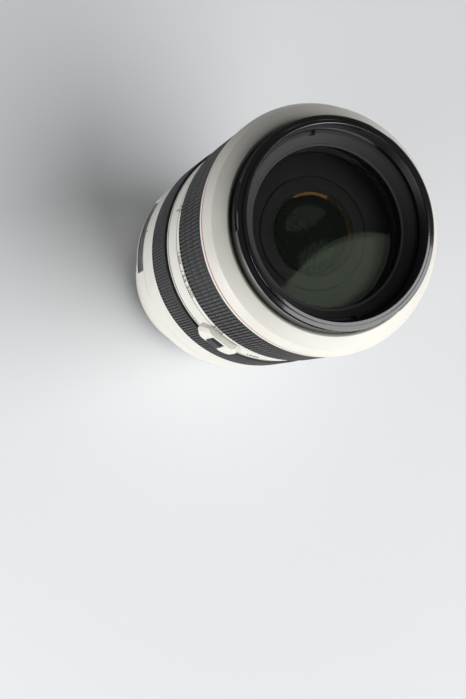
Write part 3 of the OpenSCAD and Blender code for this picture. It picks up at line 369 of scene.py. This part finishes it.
def add_grip(name, node, body, ribs, rows):
    rib_r, z0, z1 = reach(node)
    rib_h, rib_share, rib_round = 0.6 * MM, 0.66, 0.16 * MM
    rib_deep = 1.5 * rib_h
    edge_w, groove_w, wall = 0.5 * MM, 0.4 * MM, 1.3 * MM
    pitch = 2 * math.pi / ribs
    row_len = (z1 - z0 - 2 * edge_w - (rows - 1) * groove_w) / rows
    grip = bmesh.new()
    for k in range(rows):
        low = z0 + edge_w + k * (row_len + groove_w)
        rib = bmesh.ops.create_cube(grip, size=1.0)["verts"]
        bmesh.ops.scale(grip, vec=(rib_deep, rib_share * pitch * rib_r, row_len), verts=rib)
        bmesh.ops.translate(grip, vec=(rib_r - rib_deep / 2, 0, low + row_len / 2), verts=rib)
        crown = {edge for vertex in rib for edge in vertex.link_edges
                 if all(end.co.x > rib_r - rib_h / 2 for end in edge.verts)}
        bmesh.ops.bevel(grip, geom=list(crown), affect="EDGES", offset=rib_round, segments=2, profile=0.5,
                        material=-1)
    bmesh.ops.spin(grip, geom=grip.verts[:] + grip.edges[:] + grip.faces[:], cent=(0, 0, 0),
                   axis=(0, 0, 1), dvec=(0, 0, 0), angle=2 * math.pi - pitch, steps=ribs - 1,
                   use_duplicate=True)
    top, root, inside = rib_r / MM, (rib_r - rib_h) / MM, (rib_r - wall) / MM
    rear, front, edge, end_round, groove_round = z0 / MM, z1 / MM, edge_w / MM, 0.2, 0.1
    spin_path(grip, filleted([
        (inside, rear), (top, rear, end_round), (top, rear + edge, groove_round), (root, rear + edge),
        (root, front - edge), (top, front - edge, groove_round), (top, front, end_round), (inside, front)
    ]))
    dress(rubber, node)
    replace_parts(add_piece(name, grip, rubber, body), node)


add_grip("focus_grip", "focus_rubber", "focus", ribs=240, rows=1)
add_grip("zoom_grip", "zoom_rubber", "zoom", ribs=200, rows=3)

# Seam shadows: thin near-black rings in the gaps of the barrels, on the fixed shells, and one
# in the joint of the band. They are painted shade that throws back almost no light, so that each seam reads
# as a dark line.
seam_shade_paint, shader = new_material("painted_seam_shade", "#060606", Roughness=0.95, IOR=1.45)
grained(seam_shade_paint, shader, 0.8 * MM, 0.5, 0.05 * MM)
focus_z1 = reach("focus_rubber")[2]
zoom_z0 = reach("zoom_ring")[1]
shell = shell_r / MM
shade_in, seam_out, line_out = shell - 1, shell - 0.12, shell + 0.04
seam_w, line_w = 0.3, 0.35
line_z = focus_z1 / MM + 2.6
seam_shades = bmesh.new()
spin_path(seam_shades, [(shade_in, line_z), (line_out, line_z), (line_out, line_z + line_w),
                  (shade_in, line_z + line_w)])
for z in (mid_z1 / MM, focus_z1 / MM, zoom_z0 / MM - seam_w):
    spin_path(seam_shades, [(shade_in, z), (seam_out, z), (seam_out, z + seam_w), (shade_in, z + seam_w)])
add_piece("seam_shadows", seam_shades, seam_shade_paint, "body")

# Zoom index and lock mark: a line that the zoom scale is read against, and a word beside the lock.
# Both are screen printed on the fixed band, in the same matt black ink as the focus index.
mark_h, mark_turn, mark_back, line_back = 1.3 * MM, 89, 6.5 * MM, 2.2 * MM
add_prints("band_marks", [wrapped_text("LOCK", mark_h, mark_turn, zoom_z0 - mark_back, shell_r)],
           ink_black, "body",
           [(index_w, 2 * index_l, 0, zoom_z0 - line_back, shell_r)])

# Zoom scale: focal lengths on the enamel strip behind the zoom grip, which turn past the zoom index.
# They are screen printed in a matt grey ink, softer to the eye than the black marks on the band, each
# at its turn in degrees from the short end.
ink_grey, shader = new_material("grey_screen_ink", "#6A6863", Roughness=0.5, IOR=1.5)
grained(ink_grey, shader, 0.5 * MM, 0.1, 0.01 * MM)
focal_h = 2.4 * MM
focal_up = 1.5 * MM
focal_lengths = {"70": 0, "100": 24, "135": 33, "200": 41, "300": 64}
add_prints("zoom_numbers", [wrapped_text(word, focal_h, turn, zoom_z0 + focal_up, shell_r)
                            for word, turn in focal_lengths.items()],
           ink_grey, "zoom")

# Front ring: turned aluminium under the same enamel, with a groove for the red ring, a rolled outer
# edge, a flat satin bevel and a thin lip that turns down to the hood mount.
ring_r, ring_z0, ring_z1 = [size / MM for size in reach("front_ring")]
red_z0, red_z1 = [height / MM for height in reach("red_ring")[1:]]
barrel_r = reach("front_barrel")[0] / MM
hood_r, hood_z0, hood_z1 = [size / MM for size in reach("hood_mount")]
play = 0.05
ring_in, groove_in, groove_z0, groove_z1 = barrel_r + play, ring_r - 0.6, red_z0 - play, red_z1 + play
break_r, break_z = ring_r - 1.8, ring_z1 - 2.9
lip_r, lip_w, lip_drop = hood_r + 0.35, 0.9, 0.8
step_z = ring_z1 - 4.4
front_ring = bmesh.new()
spin_path(front_ring, filleted([
    (ring_in, ring_z0), (ring_r, ring_z0, 0.3), (ring_r, groove_z0), (groove_in, groove_z0),
    (groove_in, groove_z1), (ring_r, groove_z1), (break_r, break_z, 0.8), (lip_r + lip_w, ring_z1, 0.35),
    (lip_r, ring_z1 - lip_drop, 0.3), (lip_r, step_z), (ring_in, step_z)
]))
dress(enamel, "front_ring")
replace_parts(add_piece("front_ring_shell", front_ring, enamel, "front"), "front_ring")

# Red ring: a line of enamel, let into the groove of the front ring and baked with it.
# Its gloss sets it off from the satin of the ivory enamel on both sides.
dress(red, "red_ring")

# Front rim: hood bayonet and filter thread, moulded in one piece of black polycarbonate with a gloss.
# Its face has an outer bevel, a fine groove, a flat inner band and a bright inner chamfer.
rim_black, shader = new_material("glossy_black_polycarbonate", "#101011", Roughness=0.16, IOR=1.6,
                                 Coat_Weight=0.8, Coat_Roughness=0.06)
grained(rim_black, shader, 1.0 * MM, 0.06, 0.02 * MM)
thread_r, thread_deep = 33.5, 5.8
spigot_in, spigot_r = 33.05, hood_r - 0.7
thread_z0 = hood_z1 - thread_deep
band_out, band_in = thread_r + 1.4, thread_r + 0.35
shoulder_z = hood_z1 - 0.55
spigot_z, groove_z = ring_z1 + 0.8, shoulder_z - 0.5
channel_r, channel_z0, channel_z1, channel_wall = hood_r - 0.4, hood_z1 - 2.8, hood_z1 - 1.4, 0.05
rim = bmesh.new()
spin_path(rim, filleted([
    (spigot_in, hood_z0), (spigot_r, hood_z0), (spigot_r, spigot_z), (hood_r, spigot_z),
    (hood_r, channel_z0 - channel_wall), (hood_r, channel_z0 + channel_wall),
    (hood_r, channel_z1 - channel_wall), (hood_r, channel_z1 + channel_wall),
    (hood_r, shoulder_z - 0.7, 0.2), (hood_r - 0.5, shoulder_z - 0.3, 0.2), (band_out + 0.35, shoulder_z),
    (band_out + 0.3, groove_z), (band_out, groove_z), (band_out, hood_z1 - 0.2, 0.1), (band_in, hood_z1, 0.1),
    (thread_r, hood_z1 - 0.4, 0.1), (thread_r, thread_z0), (spigot_in, thread_z0)
]))
channel_az, channel_turn, entry_turn, channel_pitch = -4, 16, 10, 120
for vertex in rim.verts:
    x, y, z = vertex.co / MM
    radius = math.hypot(x, y)
    turn = (math.degrees(math.atan2(x, -y)) - channel_az) % channel_pitch
    in_channel = turn < channel_turn and channel_z0 < z < channel_z1
    in_entry = channel_turn <= turn < channel_turn + entry_turn and z > channel_z0
    if radius > channel_r and (in_channel or in_entry):
        vertex.co.xy *= channel_r / radius
dress(rim_black, "hood_mount")
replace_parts(add_piece("front_rim", rim, rim_black, "front"), "hood_mount")

# Filter thread: a screw thread moulded inside the rim, where the mould leaves a duller black.
# It is drawn twice as coarse as the real pitch of 0.75 mm, or its turns would not show.
thread_pitch, thread_turns, thread_steps, run_in = 1.5, 2.5, 192, 0.35
root, crest = 0.1, -0.42
thread = bmesh.new()
ridge = [thread.verts.new(((thread_r + out) * MM, 0, (thread_z0 + run_in + up * thread_pitch) * MM))
         for out, up in ((root, 0), (crest, 0.5), (root, 1))]
edges = [thread.edges.new((ridge[i - 1], ridge[i])) for i in range(3)]
bmesh.ops.spin(thread, geom=ridge + edges, cent=(0, 0, 0), axis=(0, 0, 1),
               dvec=(0, 0, thread_pitch * MM / thread_steps), angle=2 * math.pi * thread_turns,
               steps=int(thread_steps * thread_turns))
bmesh.ops.holes_fill(thread, edges=[edge for edge in thread.edges if edge.is_boundary], sides=3)
bmesh.ops.recalc_face_normals(thread, faces=thread.faces)
add_piece("filter_thread", thread, black_plastic, "front", sharp=50)

# Retaining ring: a conical ring that screws in over the front lens, with two notches for a wrench.
# It is anodised to a satin black, and the lathe's rings spread its highlight round the cone.
ring_black, shader = new_material("satin_black_anodising", "#3A3A3B", Roughness=0.55, IOR=1.28)
lathe_marked(ring_black, shader, 0.9 * MM, 0.5, 0.6)
clamp_r, clamp_z0, clamp_z1 = [size / MM for size in reach("retaining_ring")]
glass_r, clear_in = 30.2, 28.2
seat_z, lip_z = clamp_z0 + 0.4, clamp_z0 + 0.7
notch_az, notch_w, notch_deep, notch_z = -62, 1.6, 1.2, clamp_z1 - 0.6
clamp = bmesh.new()
spin_path(clamp, filleted([
    (glass_r, clamp_z0), (clamp_r, clamp_z0), (clamp_r, clamp_z1), (clamp_r - 0.9, clamp_z1),
    (clamp_r - 1.2, clamp_z1 - 0.5), (clamp_r - 1.5, clamp_z1 - 0.76),
    (clear_in + 1.2, lip_z + 0.4), (clear_in + 0.9, lip_z), (clear_in + 0.4, lip_z),
    (clear_in, lip_z - 0.18), (clear_in, seat_z), (glass_r, seat_z)
]))
for vertex in clamp.verts:
    x, y, z = vertex.co / MM
    turn = (math.degrees(math.atan2(x, -y)) - notch_az + 90) % 180 - 90
    if abs(turn) < math.degrees(notch_w / 2 / clamp_r) and z > notch_z:
        vertex.co.z -= notch_deep * MM
dress(ring_black, "retaining_ring")
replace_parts(add_piece("clamp_ring", clamp, ring_black, "front"), "retaining_ring")

# Lenses: ground and polished optical glass with a coating that leaves only a faint green reflection.
# Each sits in a turned cell, and the front one is held by the retaining ring. The glass mirrors as
# bare glass does, and the coating's share is taken off the panel that it mirrors.
glass, shader = new_material("coated_optical_glass", "#FFFFFF", Roughness=0.0, IOR=1.45,
                             Transmission_Weight=1.0)
shader.inputs["Specular Tint"].default_value = srgb("#9CAF95")


def polished(face_r, edge_r, vertex_z, steps=24):
    # Path of a polished face from its vertex to its edge; a negative radius is hollow.
    path = []
    for step in range(steps + 1):
        r = edge_r * step / steps
        sag = abs(face_r) - math.sqrt(face_r ** 2 - r ** 2)
        path.append((r, vertex_z - math.copysign(sag, face_r)))
    return path


def add_lens(name, node, body, front_r=0, back_r=0, front_dip=0, back_dip=0):
    # A face with no radius is flat; a dip sinks the vertex of a hollow face, which ends in a flat edge.
    edge_r, z0, z1 = [size / MM for size in reach(node)]
    front = polished(front_r, edge_r, z1 - front_dip) if front_r else [(0, z1), (edge_r, z1)]
    back = polished(back_r, edge_r, z0 + back_dip) if back_r else [(0, z0), (edge_r, z0)]
    path = [(r, min(z, z1)) for r, z in front] + [(r, max(z, z0)) for r, z in reversed(back)]
    lens = bmesh.new()
    spin_path(lens, path, closed=False, steps=192)
    dress(glass, node)
    piece = add_piece(name, lens, glass, body, sharp=25)
    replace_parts(piece, node)
    return piece


lenses = [
    add_lens("rear_lens", "rear_element", "body", front_r=60, back_r=80, back_dip=2),
    add_lens("focus_lens", "focus_element", "focus_group", front_r=70),
    add_lens("stabiliser_lens", "stabiliser_element", "shift_cell", front_r=60),
    add_lens("variator_lens", "variator_element", "variator", front_r=-45, front_dip=1.2),
    add_lens("second_lens", "second_element", "front", front_r=180, back_r=180, back_dip=2),
    add_lens("front_lens", "front_element", "front", front_r=120, back_r=120, back_dip=3.6),
]

# Bevel of the second group: the ground and polished edge of its lens, under an amber coating.
# It mirrors the panel as a thin warm crescent deep in the barrel.
amber, shader = new_material("amber_coated_bevel", "#2A1A08", Roughness=0.06, IOR=2.4)
shader.inputs["Specular Tint"].default_value = srgb("#F0B060")
cell_front = reach("variator_cell")[2] / MM
bevel_out, bevel_w = 14.75, 0.9
bevel_in = bevel_out - bevel_w
bevel_top, bevel_foot, bevel_back = cell_front - 0.8, cell_front - 1.36, cell_front - 1.5
bevel = bmesh.new()
spin_path(bevel, [(bevel_out, bevel_top), (bevel_in, bevel_foot), (bevel_in, bevel_back),
                  (bevel_out, bevel_back)])
add_piece("variator_bevel", bevel, amber, "variator")

# Floor: a wide sheet of pale backdrop paper, laid flat, on which the lens stands on its mount.
# The paper is matt, so that it shows only the soft shadow and the fall of the light.
paper, shader = new_material("pale_backdrop_paper", "#E8EAEC", Roughness=0.9, IOR=1.45)
sheet_half = 4.0
sheet = bmesh.new()
bmesh.ops.create_grid(sheet, x_segments=1, y_segments=1, size=sheet_half)
mesh = bpy.data.meshes.new("floor")
sheet.to_mesh(mesh)
sheet.free()
mesh.materials.append(paper)
floor = bpy.data.objects.new("floor", mesh)
bpy.context.scene.collection.objects.link(floor)

# Camera: above the front of the lens and to its right, as the photograph was taken.
# A normal lens a third of a metre from the front glass gives the same perspective.
camera = bpy.data.objects.new("camera", bpy.data.cameras.new("camera"))
bpy.context.scene.collection.objects.link(camera)
camera.location = (0.10003, -0.12708, 0.44768)
camera.rotation_euler = [math.radians(angle) for angle in (4.047, -20.042, 104.0)]
camera.data.sensor_width = 36
camera.data.lens = 51.5
camera.data.clip_start = 0.01
bpy.context.scene.camera = camera

# Light: one large round soft panel, whose edge shows in the front lens, a smaller square panel low on
# the other side, and a weak pale fill from all around. The lenses alone are lit by a dimmer twin of the
# round panel, because their coating takes off most of what bare glass would mirror.
aim = Vector((0, 0, 120 * MM))


def soft_panel(name, shape, direction, distance, size, power):
    lamp = bpy.data.lights.new(name, "AREA")
    lamp.shape = shape
    lamp.size = size
    lamp.energy = power
    panel = bpy.data.objects.new(name, lamp)
    panel.visible_camera = False
    bpy.context.scene.collection.objects.link(panel)
    away = Vector(direction).normalized()
    panel.location = aim + away * distance
    panel.rotation_euler = away.to_track_quat("Z", "Y").to_euler()
    return panel


round_at = {"direction": (0.284, 0.706, 0.649), "distance": 1.5, "size": 2.2}
round_power, coating_share = 37.5, 0.2
round_panel = soft_panel("round_panel", "DISK", power=round_power, **round_at)
glass_panel = soft_panel("glass_panel", "DISK", power=round_power * coating_share, **round_at)
soft_panel("left_panel", "SQUARE", direction=(0.75, -0.65, -0.05), distance=0.6, size=0.3, power=2.9)
for panel, state in ((round_panel, "EXCLUDE"), (glass_panel, "INCLUDE")):
    receivers = bpy.data.collections.new("lenses_" + panel.name)
    for lens in lenses:
        receivers.objects.link(lens)
    for member in receivers.collection_objects:
        member.light_linking.link_state = state
    panel.light_linking.receiver_collection = receivers
world = bpy.data.worlds.new("studio")
bpy.context.scene.world = world
world.use_nodes = True
background = world.node_tree.nodes["Background"]
background.inputs["Color"].default_value = srgb("#EEF0F2")
background.inputs["Strength"].default_value = 0.09
bpy.context.scene.view_settings.view_transform = "Standard"
